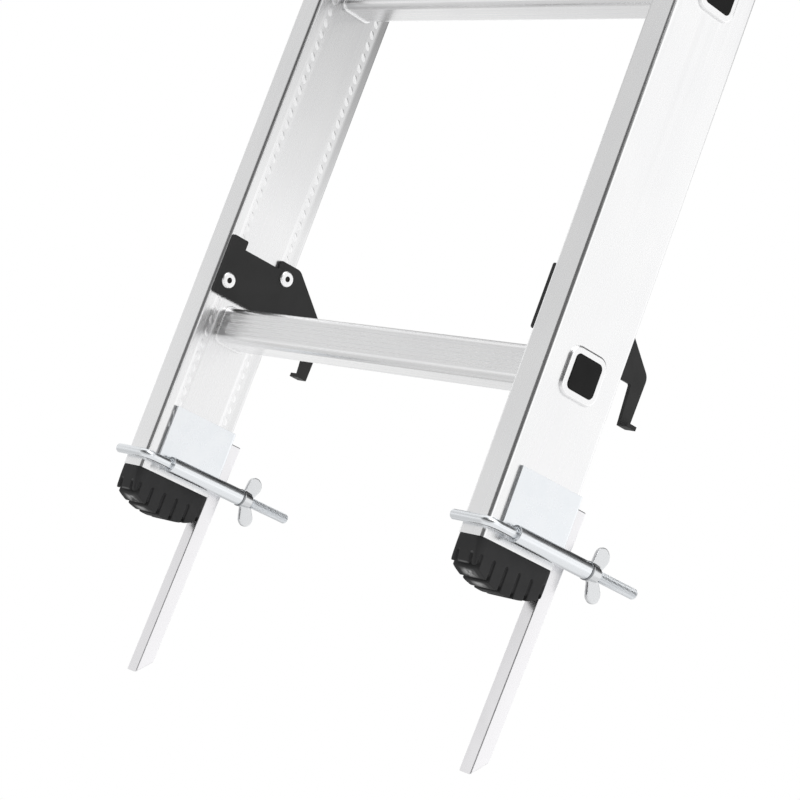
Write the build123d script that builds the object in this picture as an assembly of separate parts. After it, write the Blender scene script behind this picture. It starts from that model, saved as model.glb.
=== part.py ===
from build123d import *
import os

# Lower end of an aluminium ladder with a ground spike clamped to each stile, in millimetres.
# X runs along the rungs, +Y from the climbing side to the back and +Z up the stiles.
# The origin lies midway between the two sawn stile ends, at half the stile's depth.

# Stiles: box extrusions with two grip channels along the inner face
LADDER_WIDTH = 408.0
STILE_WIDTH = 24.5
STILE_DEPTH = 70.0
STILE_WALL = 1.8
STILE_CORNER = 3.0
STILE_BORE_CORNER = 1.2
CHANNEL_WIDTH = 9.0
CHANNEL_DEPTH = 0.6
CHANNEL_INSET = 12.3
SAWN_END_RISE = 50.0
STILE_TAIL = 125.0

# Rungs: fluted oblong tubes, beaded inside and rolled over to a square rim outside the stiles
RUNG_PITCH = 280.0
RUNG_HEIGHT = 28.0
RUNG_DEPTH = 29.0
RUNG_CORNER = 5.5
RUNG_WALL = 1.6
RIM_SIZE = 35.6
RIM_CORNER = 9.0
RIM_PROUD = 2.4
RIM_ROUND = 2.0
BEAD_RISE = 1.4
BEAD_WIDTH = 2.4
BEAD_ROUND = 0.7
FLUTE_COUNT = 5
FLUTE_PITCH = 3.2
FLUTE_WIDTH = 1.3
FLUTE_DEPTH = 0.5
FLUTE_END_GAP = 8.0

# Plugs in the rung ends
PLUG_CLEARANCE = 0.1
PLUG_DEPTH = 18.0
PLUG_PROUD = 0.6
PLUG_FACE = 2.5
PLUG_WALL = 2.0
PLUG_CHAMFER = 0.5

# Rung hooks: plates on the stiles' inner faces that catch a rung of the ladder section behind.
# Heights are from the lower rung's centre, insets from the stile's front and back faces.
HOOK_THICK = 3.0
HOOK_FRONT_INSET = 1.5
HOOK_BASE_RISE = 19.0
HOOK_HORN_RISE = 65.5
HOOK_SADDLE_RISE = 58.5
HOOK_FRONT_HORN = 15.0
HOOK_REAR_HORN = 18.2
HOOK_NAPE_REACH = 2.0
HOOK_SHOULDER_RISE = 29.0
HOOK_SHOULDER_REACH = 45.5
HOOK_MOUTH = 33.0
HOOK_FINGER_DROP = 10.0
HOOK_FINGER_FRONT_TAPER = 2.5
HOOK_FINGER_BACK_TAPER = 1.0
HOOK_CORNER = 1.5
HOOK_BACK_ROUND = 8.0
LIP_LENGTH = 7.0
LIP_HEIGHT = 3.0

# Tubular rivets, two to a hook
RIVET_FRONT_INSET = 11.3
RIVET_FRONT_RISE = 31.3
RIVET_BACK_INSET = 8.2
RIVET_BACK_RISE = 54.1
RIVET_SHANK = 7.0
RIVET_BORE = 4.5
RIVET_HEAD = 12.8
RIVET_HEAD_HEIGHT = 1.8
RIVET_HEAD_ROUND = 0.9
RIVET_TAIL = 10.0
RIVET_TAIL_HEIGHT = 1.4
RIVET_CLEARANCE = 0.05

# Feet: ribbed rubber shoes plugged into the stiles, with an arched sole
FOOT_LEDGE = 0.6
FOOT_CORNER = 3.4
FOOT_TOE_HEIGHT = 18.0
FOOT_TOE_SETBACK = 2.8
FOOT_BALL_INSET = 36.0
FOOT_BALL_HEIGHT = 28.5
FOOT_HEEL_HEIGHT = 19.5
FOOT_HEEL_SETBACK = 2.6
FOOT_GROOVE_COUNT = 6
FOOT_GROOVE_PITCH = 12.1
FOOT_GROOVE_INSET = 5.0
FOOT_GROOVE_WIDTH = 2.6
FOOT_GROOVE_DEPTH = 4.0
FOOT_FLUTE_DEPTH = 1.5
FOOT_FLUTE_DROP = 12.0
FOOT_TOE_FLUTE_SPACING = 13.6
FOOT_PLUG_HEIGHT = 28.0
FOOT_PLUG_CLEARANCE = 0.25
FOOT_PLUG_CORNER = 1.0
FOOT_PLUG_WALL = 3.5
FOOT_PLUG_FLOOR = 4.0

# Clamp plate: lies on the stile's side and is bent round its back edge
PLATE_THICK = 2.0
PLATE_HEIGHT = 39.8
PLATE_FRONT_INSET = 11.0
PLATE_BEND = 1.0
FLANGE_LENGTH = 21.0

# Spike: angle bar on the plate's back flange, cut to a point at its heel
SPIKE_LEG = 12.3
SPIKE_THICK = 3.0
SPIKE_ROOT = 1.5
SPIKE_HEEL_INSET = 4.7
SPIKE_TOP_DROP = 7.0
SPIKE_TOP_CHAMFER = 8.0
SPIKE_REACH = 142.5
SPIKE_SIDE_RAKE = 12.0
SPIKE_FRONT_RAKE = 3.0
SPIKE_LEAN = 2.4

# Guide tube under the plate's lower edge
TUBE_DIAMETER = 12.5
TUBE_BORE_CLEARANCE = 0.4
TUBE_GAP = 0.3
TUBE_RISE = 9.8
TUBE_FRONT_INSET = 19.5
TUBE_BACK_REACH = 20.7
TUBE_SEAT = 3.6

# Hook bolt: round bar bent across the stile's front, with a threaded tail
BOLT_DIAMETER = 7.0
BOLT_BEND = 7.0
BOLT_GAP = 0.3
BOLT_OVERHANG = 5.0
BOLT_TAIL = 49.8
BOLT_CHAMFER = 0.8
THREAD_DIAMETER = 7.8
THREAD_LENGTH = 61.0

# Washer and wing nut on the tail
WASHER_DIAMETER = 13.5
WASHER_CLEARANCE = 0.2
WASHER_THICK = 1.6
NUT_CLEARANCE = 0.1
NUT_BASE = 13.0
NUT_CROWN = 11.0
NUT_HUB_HEIGHT = 9.0
NUT_SPAN = 39.0
NUT_HEIGHT = 16.5
NUT_WING_THICK = 3.0
NUT_WING_ROOT = 4.0
NUT_EAR = 6.5
NUT_TURN = -7.0

# Planes and axes that the pieces share
STILE_X = (LADDER_WIDTH - STILE_WIDTH) / 2
OUTER_X = LADDER_WIDTH / 2
INNER_X = OUTER_X - STILE_WIDTH
FRONT_Y = -STILE_DEPTH / 2
BACK_Y = STILE_DEPTH / 2
UPPER_RUNG_Z = -SAWN_END_RISE
LOWER_RUNG_Z = UPPER_RUNG_Z - RUNG_PITCH
STILE_END_Z = LOWER_RUNG_Z - STILE_TAIL
TUBE_X = OUTER_X + TUBE_GAP + TUBE_DIAMETER / 2
TUBE_Z = STILE_END_Z + TUBE_RISE
TUBE_FRONT_Y = FRONT_Y + TUBE_FRONT_INSET
TUBE_BACK_Y = BACK_Y + TUBE_BACK_REACH
NUT_Y = TUBE_BACK_Y + WASHER_THICK
PLATE_BASE_Z = TUBE_Z + TUBE_SEAT
PLATE_TOP_Z = PLATE_BASE_Z + PLATE_HEIGHT
FLANGE_BACK_Y = BACK_Y + PLATE_THICK
RIVET_POINTS = (
    (FRONT_Y + RIVET_FRONT_INSET, LOWER_RUNG_Z + RIVET_FRONT_RISE),
    (BACK_Y - RIVET_BACK_INSET, LOWER_RUNG_Z + RIVET_BACK_RISE),
)


def along_x(sketch, start, end):
    """Extrudes a sketch drawn in Y and Z from one X to another."""
    return extrude(Plane.YZ.offset(start) * sketch, amount=end - start)


def along_y(sketch, start, end):
    """Extrudes a sketch drawn in X and Z from one Y to another."""
    plane = Plane(origin=(0, start, 0), x_dir=(1, 0, 0), z_dir=(0, -1, 0))
    return extrude(plane * sketch, amount=start - end)


def bar_on_tube_axis(diameter, start, end):
    return along_y(Pos(TUBE_X, TUBE_Z) * Circle(diameter / 2), start, end)


def rounded(sketch, corners):
    """Rounds chosen corners of a sketch, each given as a point and a radius."""
    for point, radius in corners:
        sketch = fillet(sketch.vertices().sort_by_distance(point)[0], radius)
    return sketch


def rung_section(rung_z, margin=0.0):
    """Outline of a rung in Y and Z, widened all round by a margin."""
    width = RUNG_DEPTH + 2 * margin
    height = RUNG_HEIGHT + 2 * margin
    return Pos(0, rung_z) * RectangleRounded(width, height, RUNG_CORNER + margin)


def stile():
    """Right stile: a box extrusion, pierced for the rungs and the hook's rivets."""
    section = RectangleRounded(STILE_WIDTH, STILE_DEPTH, STILE_CORNER)
    bore_width = STILE_WIDTH - 2 * STILE_WALL
    bore_depth = STILE_DEPTH - 2 * STILE_WALL
    section -= RectangleRounded(bore_width, bore_depth, STILE_BORE_CORNER)
    for channel_y in (FRONT_Y + CHANNEL_INSET, BACK_Y - CHANNEL_INSET):
        section -= Pos(-STILE_WIDTH / 2, channel_y) * Rectangle(2 * CHANNEL_DEPTH, CHANNEL_WIDTH)
    bar = extrude(Pos(STILE_X, 0, STILE_END_Z) * section, amount=-STILE_END_Z)
    for rung_z in (UPPER_RUNG_Z, LOWER_RUNG_Z):
        bar -= along_x(rung_section(rung_z), INNER_X, OUTER_X)
    for point in RIVET_POINTS:
        hole = Pos(*point) * Circle(RIVET_SHANK / 2 + RIVET_CLEARANCE)
        bar -= along_x(hole, INNER_X, STILE_X)
    return bar


def rung(rung_z):
    """A rung with both its inner beads and both its rolled rims."""
    tube = along_x(rung_section(rung_z), -OUTER_X, OUTER_X)
    flute_end = INNER_X - BEAD_WIDTH - FLUTE_END_GAP
    centre = Pos(0, rung_z)
    for turn, reach in ((0, RUNG_DEPTH / 2), (90, RUNG_HEIGHT / 2), (180, RUNG_DEPTH / 2)):
        for index in range(FLUTE_COUNT):
            offset = (index - (FLUTE_COUNT - 1) / 2) * FLUTE_PITCH
            flute = centre * Rot(Z=turn) * Pos(reach, offset) * Rectangle(2 * FLUTE_DEPTH, FLUTE_WIDTH)
            tube -= along_x(flute, -flute_end, flute_end)
    end = OUTER_X + RIM_PROUD
    rim = along_x(centre * RectangleRounded(RIM_SIZE, RIM_SIZE, RIM_CORNER), OUTER_X, end)
    rim = fillet(rim.edges().group_by(Axis.X)[-1], RIM_ROUND)
    bead = along_x(rung_section(rung_z, BEAD_RISE), INNER_X - BEAD_WIDTH, INNER_X)
    bead = fillet(bead.edges().group_by(Axis.X)[0], BEAD_ROUND)
    for collar in (rim, bead):
        tube += collar
        tube += mirror(collar, about=Plane.YZ)
    return tube - along_x(rung_section(rung_z, -RUNG_WALL), -end, end)


def rung_plug(rung_z):
    """Right plug of a rung: a cap with a hollow back."""
    margin = -RUNG_WALL - PLUG_CLEARANCE
    face_x = OUTER_X + RIM_PROUD + PLUG_PROUD
    cap = along_x(rung_section(rung_z, margin), face_x - PLUG_DEPTH, face_x)
    cap = chamfer(cap.edges().group_by(Axis.X)[-1], PLUG_CHAMFER)
    hollow = rung_section(rung_z, margin - PLUG_WALL)
    return cap - along_x(hollow, face_x - PLUG_DEPTH, face_x - PLUG_FACE)


def rung_hook():
    """Right rung hook: a plate with two horns, a downward finger and a lip bent outwards."""
    front = FRONT_Y + HOOK_FRONT_INSET
    front_horn_end = front + HOOK_FRONT_HORN
    rear_horn_start = BACK_Y - HOOK_REAR_HORN
    base = LOWER_RUNG_Z + HOOK_BASE_RISE
    horn = LOWER_RUNG_Z + HOOK_HORN_RISE
    saddle = LOWER_RUNG_Z + HOOK_SADDLE_RISE
    throat = (BACK_Y + HOOK_MOUTH, base)
    shoulder = (BACK_Y + HOOK_SHOULDER_REACH, LOWER_RUNG_Z + HOOK_SHOULDER_RISE)
    nape = (BACK_Y + HOOK_NAPE_REACH, horn)
    finger = LOWER_RUNG_Z - HOOK_FINGER_DROP
    finger_front = throat[0] + HOOK_FINGER_FRONT_TAPER
    finger_back = shoulder[0] - HOOK_FINGER_BACK_TAPER
    outline = Polygon(
        (front, base),
        throat,
        (finger_front, finger),
        (finger_back, finger),
        shoulder,
        nape,
        (rear_horn_start, horn),
        (rear_horn_start, saddle),
        (front_horn_end, saddle),
        (front_horn_end, horn),
        (front, horn),
        align=None,
    )
    corners = [(throat, HOOK_CORNER), (shoulder, HOOK_BACK_ROUND), (nape, HOOK_BACK_ROUND)]
    for point in ((front, horn), (front_horn_end, horn), (rear_horn_start, horn), (front, base)):
        corners.append((point, HOOK_CORNER))
    outline = rounded(outline, corners)
    for point in RIVET_POINTS:
        outline -= Pos(*point) * Circle(RIVET_SHANK / 2 + RIVET_CLEARANCE)
    plate = along_x(outline, INNER_X - HOOK_THICK, INNER_X)
    lip_place = Pos((finger_front + finger_back) / 2, finger + LIP_HEIGHT / 2)
    lip = lip_place * Rectangle(finger_back - finger_front, LIP_HEIGHT)
    return plate + along_x(lip, INNER_X - HOOK_THICK, INNER_X + LIP_LENGTH)


def hook_rivets():
    """Both rivets of the right hook, flanged inside the stile."""
    face_x = INNER_X - HOOK_THICK
    tail_x = INNER_X + STILE_WALL
    rivets = []
    for point in RIVET_POINTS:
        place = Pos(*point)
        head = along_x(place * Circle(RIVET_HEAD / 2), face_x - RIVET_HEAD_HEIGHT, face_x)
        head = fillet(head.edges().group_by(Axis.X)[0], RIVET_HEAD_ROUND)
        rivet = head + along_x(place * Circle(RIVET_SHANK / 2), face_x, tail_x)
        rivet += along_x(place * Circle(RIVET_TAIL / 2), tail_x, tail_x + RIVET_TAIL_HEIGHT)
        bore = place * Circle(RIVET_BORE / 2)
        rivets.append(rivet - along_x(bore, face_x - RIVET_HEAD_HEIGHT, tail_x + RIVET_TAIL_HEIGHT))
    return rivets[0] + rivets[1]


def foot():
    """Right foot: the sole's cross grooves run on up both sides as flutes."""
    width = STILE_WIDTH + 2 * FOOT_LEDGE
    depth = STILE_DEPTH + 2 * FOOT_LEDGE
    front = FRONT_Y - FOOT_LEDGE
    back = BACK_Y + FOOT_LEDGE
    toe = (front + FOOT_TOE_SETBACK, STILE_END_Z - FOOT_TOE_HEIGHT)
    ball = (FRONT_Y + FOOT_BALL_INSET, STILE_END_Z - FOOT_BALL_HEIGHT)
    heel = (back - FOOT_HEEL_SETBACK, STILE_END_Z - FOOT_HEEL_HEIGHT)
    outline = [
        Line((front, STILE_END_Z), toe),
        ThreePointArc(toe, ball, heel),
        Line(heel, (back, STILE_END_Z)),
        Line((back, STILE_END_Z), (front, STILE_END_Z)),
    ]
    shoe = along_x(make_face(outline), STILE_X - width / 2, STILE_X + width / 2)
    ground = STILE_END_Z - 2 * FOOT_BALL_HEIGHT
    column = Pos(STILE_X, 0, ground) * RectangleRounded(width, depth, FOOT_CORNER)
    shoe &= extrude(column, amount=STILE_END_Z - ground)
    flute_top = STILE_END_Z - FOOT_FLUTE_DROP
    slot = Pos(0, (ground + flute_top) / 2) * Rectangle(FOOT_GROOVE_WIDTH, flute_top - ground)
    slot += Pos(0, flute_top) * Circle(FOOT_GROOVE_WIDTH / 2)
    raised = Pos(0, 0, FOOT_GROOVE_DEPTH) * shoe
    set_back = Pos(0, FOOT_FLUTE_DEPTH, 0) * shoe
    cuts = []
    for index in range(FOOT_GROOVE_COUNT):
        place = Pos(FRONT_Y + FOOT_GROOVE_INSET + index * FOOT_GROOVE_PITCH, 0)
        groove = along_x(place * slot, STILE_X - width / 2, STILE_X + width / 2)
        cuts.append(groove - raised)
        for side in (-1, 1):
            flute_floor = STILE_X + side * (width / 2 - FOOT_FLUTE_DEPTH)
            cuts.append(along_x(place * slot, flute_floor, STILE_X + side * width / 2))
    for side in (-1, 1):
        place = Pos(STILE_X + side * FOOT_TOE_FLUTE_SPACING / 2, 0)
        cuts.append(along_y(place * slot, front, FRONT_Y + FOOT_GROOVE_INSET) - set_back)
    for cut in cuts:
        shoe -= cut
    plug_width = STILE_WIDTH - 2 * (STILE_WALL + FOOT_PLUG_CLEARANCE)
    plug_depth = STILE_DEPTH - 2 * (STILE_WALL + FOOT_PLUG_CLEARANCE)
    plug = RectangleRounded(plug_width, plug_depth, FOOT_PLUG_CORNER)
    hollow = Rectangle(plug_width - 2 * FOOT_PLUG_WALL, plug_depth - 2 * FOOT_PLUG_WALL)
    base = Pos(STILE_X, 0, STILE_END_Z)
    shoe += extrude(base * plug, amount=FOOT_PLUG_HEIGHT)
    floor = base * Pos(0, 0, FOOT_PLUG_FLOOR)
    return shoe - extrude(floor * hollow, amount=FOOT_PLUG_HEIGHT - FOOT_PLUG_FLOOR)


def clamp_plate():
    """Right clamp plate, seated on the guide tube along its lower edge."""
    outside = (OUTER_X + PLATE_THICK, FLANGE_BACK_Y)
    inside = (OUTER_X, BACK_Y)
    section = Polygon(
        (OUTER_X, FRONT_Y + PLATE_FRONT_INSET),
        (OUTER_X + PLATE_THICK, FRONT_Y + PLATE_FRONT_INSET),
        outside,
        (OUTER_X - FLANGE_LENGTH, FLANGE_BACK_Y),
        (OUTER_X - FLANGE_LENGTH, BACK_Y),
        inside,
        align=None,
    )
    section = rounded(section, [(outside, PLATE_BEND + PLATE_THICK), (inside, PLATE_BEND)])
    plate = extrude(Pos(0, 0, PLATE_BASE_Z) * section, amount=PLATE_HEIGHT)
    return plate - bar_on_tube_axis(TUBE_DIAMETER, TUBE_FRONT_Y, TUBE_BACK_Y)


def spike():
    """Right spike: cut so that its heel is the point, and welded on a little askew."""
    heel_x = OUTER_X - SPIKE_HEEL_INSET
    heel_y = FLANGE_BACK_Y
    edge_x = heel_x - SPIKE_LEG
    edge_y = heel_y + SPIKE_LEG
    tip_z = STILE_END_Z - SPIKE_REACH
    top_z = PLATE_TOP_Z - SPIKE_TOP_DROP
    root = (heel_x - SPIKE_THICK, heel_y + SPIKE_THICK)
    section = Polygon(
        (heel_x, heel_y),
        (heel_x, edge_y),
        (heel_x - SPIKE_THICK, edge_y),
        root,
        (edge_x, heel_y + SPIKE_THICK),
        (edge_x, heel_y),
        align=None,
    )
    section = rounded(section, [(root, SPIKE_ROOT)])
    bar = extrude(Pos(0, 0, tip_z) * section, amount=top_z - tip_z)
    side_rake = Polygon(
        (heel_y, tip_z), (edge_y, tip_z), (edge_y, tip_z + SPIKE_SIDE_RAKE), align=None
    )
    front_rake = Polygon(
        (heel_x, tip_z), (edge_x, tip_z), (edge_x, tip_z + SPIKE_FRONT_RAKE), align=None
    )
    top_corner = Polygon(
        (edge_y, top_z),
        (edge_y, top_z - SPIKE_TOP_CHAMFER),
        (edge_y - SPIKE_TOP_CHAMFER, top_z),
        align=None,
    )
    bar -= along_x(side_rake, edge_x, heel_x)
    bar -= along_y(front_rake, heel_y, edge_y)
    bar -= along_x(top_corner, edge_x, heel_x)
    weld_z = PLATE_TOP_Z - PLATE_HEIGHT / 2
    return Pos(heel_x, 0, weld_z) * Rot(Y=SPIKE_LEAN) * Pos(-heel_x, 0, -weld_z) * bar


def clamp_tube():
    bore = THREAD_DIAMETER + 2 * TUBE_BORE_CLEARANCE
    tube = bar_on_tube_axis(TUBE_DIAMETER, TUBE_FRONT_Y, TUBE_BACK_Y)
    return tube - bar_on_tube_axis(bore, TUBE_FRONT_Y, TUBE_BACK_Y)


def hook_bolt():
    """Right hook bolt: its bar crosses the stile's front and stands out past the far side."""
    bar_y = FRONT_Y - BOLT_GAP - BOLT_DIAMETER / 2
    bar_end = (INNER_X - BOLT_OVERHANG, bar_y, TUBE_Z)
    corner = (TUBE_X, bar_y, TUBE_Z)
    tail_y = TUBE_BACK_Y + BOLT_TAIL
    thread_y = tail_y - THREAD_LENGTH
    path = FilletPolyline(bar_end, corner, (TUBE_X, thread_y, TUBE_Z), radius=BOLT_BEND)
    section = Plane(origin=bar_end, z_dir=(1, 0, 0)) * Circle(BOLT_DIAMETER / 2)
    bolt = sweep(section, path) + bar_on_tube_axis(THREAD_DIAMETER, thread_y, tail_y)
    rims = bolt.edges().filter_by(GeomType.CIRCLE)
    return chamfer([rims.sort_by(Axis.Y)[-1], rims.sort_by(Axis.X)[0]], BOLT_CHAMFER)


def washer():
    bore = THREAD_DIAMETER + 2 * WASHER_CLEARANCE
    disc = bar_on_tube_axis(WASHER_DIAMETER, TUBE_BACK_Y, NUT_Y)
    return disc - bar_on_tube_axis(bore, TUBE_BACK_Y, NUT_Y)


def wing_nut():
    """Right wing nut: a tapered hub with two swept ears."""
    hub = Pos(0, NUT_HUB_HEIGHT / 2, 0) * Rot(X=-90)
    nut = hub * Cone(NUT_BASE / 2, NUT_CROWN / 2, NUT_HUB_HEIGHT)
    ear = Pos(NUT_HEIGHT - NUT_EAR, NUT_SPAN / 2 - NUT_EAR) * Circle(NUT_EAR)
    ear += Pos(NUT_HUB_HEIGHT / 2, 0) * Circle(NUT_WING_ROOT)
    wing = along_x(make_hull(ear.edges()), -NUT_WING_THICK / 2, NUT_WING_THICK / 2)
    nut += wing
    nut += mirror(wing, about=Plane.XY)
    nut -= along_y(Circle(THREAD_DIAMETER / 2 + NUT_CLEARANCE), 0, NUT_HEIGHT)
    return Pos(TUBE_X, NUT_Y, TUBE_Z) * Rot(Y=NUT_TURN) * nut


os.makedirs("parts", exist_ok=True)

# The ladder's own pieces are mirrored from the right stile to the left one
mirrored_pieces = {
    "stile": stile(),
    "rung_hook": rung_hook(),
    "hook_rivets": hook_rivets(),
    "foot": foot(),
    "upper_rung_plug": rung_plug(UPPER_RUNG_Z),
    "lower_rung_plug": rung_plug(LOWER_RUNG_Z),
}
for name, piece in mirrored_pieces.items():
    export_step(piece, f"parts/right_{name}.step")
    export_step(mirror(piece, about=Plane.YZ), f"parts/left_{name}.step")

# The spike clamps are two of the same kind, each on its stile's right-hand face
repeated_pieces = {
    "clamp_plate": clamp_plate(),
    "spike": spike(),
    "clamp_tube": clamp_tube(),
    "hook_bolt": hook_bolt(),
    "washer": washer(),
    "wing_nut": wing_nut(),
}
for name, piece in repeated_pieces.items():
    export_step(piece, f"parts/right_{name}.step")
    export_step(Pos(-2 * STILE_X, 0, 0) * piece, f"parts/left_{name}.step")

export_step(rung(UPPER_RUNG_Z), "parts/upper_rung.step")
export_step(rung(LOWER_RUNG_Z), "parts/lower_rung.step")
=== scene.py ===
import math

import bpy
from mathutils import Matrix, Vector


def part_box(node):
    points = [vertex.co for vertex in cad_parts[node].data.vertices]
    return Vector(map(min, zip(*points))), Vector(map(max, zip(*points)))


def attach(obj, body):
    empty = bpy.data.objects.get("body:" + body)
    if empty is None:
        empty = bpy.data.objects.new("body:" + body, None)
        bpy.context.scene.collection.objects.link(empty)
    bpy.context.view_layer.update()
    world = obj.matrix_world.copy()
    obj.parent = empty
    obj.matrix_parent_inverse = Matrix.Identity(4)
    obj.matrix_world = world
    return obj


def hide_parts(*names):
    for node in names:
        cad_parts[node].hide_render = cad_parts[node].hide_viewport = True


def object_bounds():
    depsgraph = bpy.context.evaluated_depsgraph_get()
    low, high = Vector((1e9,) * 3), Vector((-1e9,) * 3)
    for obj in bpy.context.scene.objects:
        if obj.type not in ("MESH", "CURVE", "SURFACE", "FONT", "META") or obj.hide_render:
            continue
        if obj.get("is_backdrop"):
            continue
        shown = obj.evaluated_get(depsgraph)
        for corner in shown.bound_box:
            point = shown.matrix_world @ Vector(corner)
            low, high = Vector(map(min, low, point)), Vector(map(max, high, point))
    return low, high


# The lower end of an aluminium ladder with a ground spike clamped to each stile, in metres.
# X runs along the rungs, +Y from the climbing side to the back and +Z up the stiles.
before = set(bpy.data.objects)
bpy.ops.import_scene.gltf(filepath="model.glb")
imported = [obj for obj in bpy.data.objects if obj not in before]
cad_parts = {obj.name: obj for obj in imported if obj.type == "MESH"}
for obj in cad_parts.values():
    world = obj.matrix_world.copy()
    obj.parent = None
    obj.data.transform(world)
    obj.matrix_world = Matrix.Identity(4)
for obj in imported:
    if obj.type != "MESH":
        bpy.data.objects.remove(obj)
cad_low, cad_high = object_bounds()


# Stiles: box extrusions of mill-finish aluminium, sawn to length and pierced for the rungs.
# Two shallow troughs run along the inner face for grip, each with a row of slanting oval studs
# pressed into it.
SIDES = ("left", "right")
STILE_WALL = 0.0018
STILE_CORNER = 0.003
TROUGH_WIDTH = 0.009
TROUGH_DEPTH = 0.0004
TROUGH_INSET = 0.0123
RUNG_DEPTH = 0.029
RUNG_HEIGHT = 0.028
RUNG_CORNER = 0.0055
STUD_PITCH = 0.0096
STUD_LENGTH = 0.0088
STUD_WIDTH = 0.0046
STUD_HEIGHT = 0.0003
STUD_SINK = 0.00003
STUD_SKEW = math.radians(38)
STUD_COUNT = 43
STUD_STARTS = (-0.4177, -0.4152)  # the lowest stud in the front row and in the rear row
CAP_CUT = 0.6  # a stud is the cap of a ball with a radius of 1, cut off here and then scaled
CAP_HEIGHT = 1 - CAP_CUT
CAP_WIDTH = 2 * math.sqrt(1 - CAP_CUT ** 2)
TOOL_OVERRUN = 0.01  # how far a tool runs past the piece that it cuts
SHADE_TOP = 0.015  # the upper rung's painted shadow, from here to its end below the rung's middle
SHADE_END = 0.19
TONE_EDGE = 0.02  # half the blur between two tones, as a share of the stile's depth


def linear(hex_colour):
    """A colour written as sRGB hex, as the linear colour that a shader socket takes."""
    channels = [int(hex_colour[i:i + 2], 16) / 255 for i in (1, 3, 5)]
    return (*[c / 12.92 if c <= 0.04045 else ((c + 0.055) / 1.055) ** 2.4 for c in channels], 1)


def add_node(tree, kind, options=None, inputs=None):
    """Adds a node, sets its options and fills its inputs with values or with other nodes' sockets."""
    node = tree.nodes.new(kind)
    for name, value in (options or {}).items():
        setattr(node, name, value)
    for name, value in (inputs or {}).items():
        if isinstance(value, bpy.types.NodeSocket):
            tree.links.new(value, node.inputs[name])
        else:
            node.inputs[name].default_value = value
    return node


def new_material(name, values):
    """A material whose Principled shader has these values on its sockets, with the node tree."""
    material = bpy.data.materials.new(name)
    material.use_nodes = True
    shader = material.node_tree.nodes["Principled BSDF"]
    for socket, value in values.items():
        shader.inputs[socket].default_value = value
    return material, material.node_tree, shader


def extruded_aluminium(name, along):
    """Mill-finish aluminium: pale and satin, with fine lines that the die leaves along one axis."""
    material, tree, shader = new_material(name, {"Metallic": 1.0})
    place = add_node(tree, "ShaderNodeTexCoord").outputs["Object"]
    # Die lines 2.5 mm apart and 300 mm long, drawn coarser than real ones so that they show
    stretch = [1 / 0.0025] * 3
    stretch[along] = 1 / 0.3
    lines = add_node(tree, "ShaderNodeMapping", inputs={"Vector": place, "Scale": stretch})
    streaks = add_node(tree, "ShaderNodeTexNoise", inputs={
        "Vector": lines.outputs["Vector"], "Scale": 1.0, "Detail": 3.0, "Roughness": 0.55})
    # Cloudy oxide in patches about 45 mm across
    clouds = add_node(tree, "ShaderNodeTexNoise", inputs={
        "Vector": place, "Scale": 1 / 0.045, "Detail": 2.0})
    tone = add_node(tree, "ShaderNodeMix", {"data_type": "RGBA"}, {
        "Factor": clouds.outputs["Fac"], "A": linear("#F3F3F4"), "B": linear("#FAFAFA")})
    gloss = add_node(tree, "ShaderNodeMapRange", inputs={
        "Value": streaks.outputs["Fac"], "From Min": 0.3, "From Max": 0.7, "To Min": 0.24, "To Max": 0.31})
    relief = add_node(tree, "ShaderNodeBump", inputs={
        "Height": streaks.outputs["Fac"], "Strength": 0.04, "Distance": 0.00004})
    tree.links.new(tone.outputs["Result"], shader.inputs["Base Color"])
    tree.links.new(gloss.outputs["Result"], shader.inputs["Roughness"])
    tree.links.new(relief.outputs["Normal"], shader.inputs["Normal"])
    return material


def paint_inner_face_shade(material, shades, low, high, rung_z):
    """Paints shade on the stiles' inner faces: a tone each for the front trough, the flat between, the rear
    trough and behind it.

    The painted shade is strong under the upper rung, as its painted shadow, and fades out below.
    """
    tree = material.node_tree
    shader = tree.nodes["Principled BSDF"]
    bright = shader.inputs["Base Color"].links[0].from_socket
    place = add_node(tree, "ShaderNodeTexCoord").outputs["Object"]
    parts = add_node(tree, "ShaderNodeSeparateXYZ", inputs={"Vector": place})
    depth = add_node(tree, "ShaderNodeMapRange", inputs={
        "Value": parts.outputs["Y"], "From Min": low.y, "From Max": high.y})
    bands = add_node(tree, "ShaderNodeValToRGB", inputs={"Fac": depth.outputs["Result"]})
    ramp = bands.color_ramp
    trough_start = (TROUGH_INSET - TROUGH_WIDTH / 2) / (high.y - low.y)
    trough_end = (TROUGH_INSET + TROUGH_WIDTH / 2) / (high.y - low.y)
    front, between, rear, behind = shades
    ramp.elements[0].color = linear(front)
    ramp.elements[1].color = linear(behind)
    for border, before, after in (
        (trough_end, front, between), (1 - trough_end, between, rear), (1 - trough_start, rear, behind),
    ):
        ramp.elements.new(border - TONE_EDGE).color = linear(before)
        ramp.elements.new(border + TONE_EDGE).color = linear(after)
    # Painted shadow of the upper rung: the tones are raised to a power that grows towards the rung, so they
    # darken there
    strength = add_node(tree, "ShaderNodeMapRange", inputs={
        "Value": parts.outputs["Z"], "From Min": rung_z - SHADE_END, "From Max": rung_z - SHADE_TOP,
        "To Min": 0.6, "To Max": 5.5})
    painted_shade = add_node(tree, "ShaderNodeMath", {"operation": "POWER"}, {
        0: bands.outputs["Color"], 1: strength.outputs["Result"]})
    across = add_node(tree, "ShaderNodeMath", {"operation": "ABSOLUTE"}, {0: parts.outputs["X"]})
    inside = add_node(tree, "ShaderNodeMath", {"operation": "LESS_THAN"}, {
        0: across.outputs["Value"], 1: STILE_CORNER - high.x})
    tone = add_node(tree, "ShaderNodeMix", {"data_type": "RGBA", "blend_type": "MULTIPLY"}, {
        "Factor": inside.outputs["Value"], "A": bright, "B": painted_shade.outputs["Value"]})
    tree.links.new(tone.outputs["Result"], shader.inputs["Base Color"])


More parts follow.
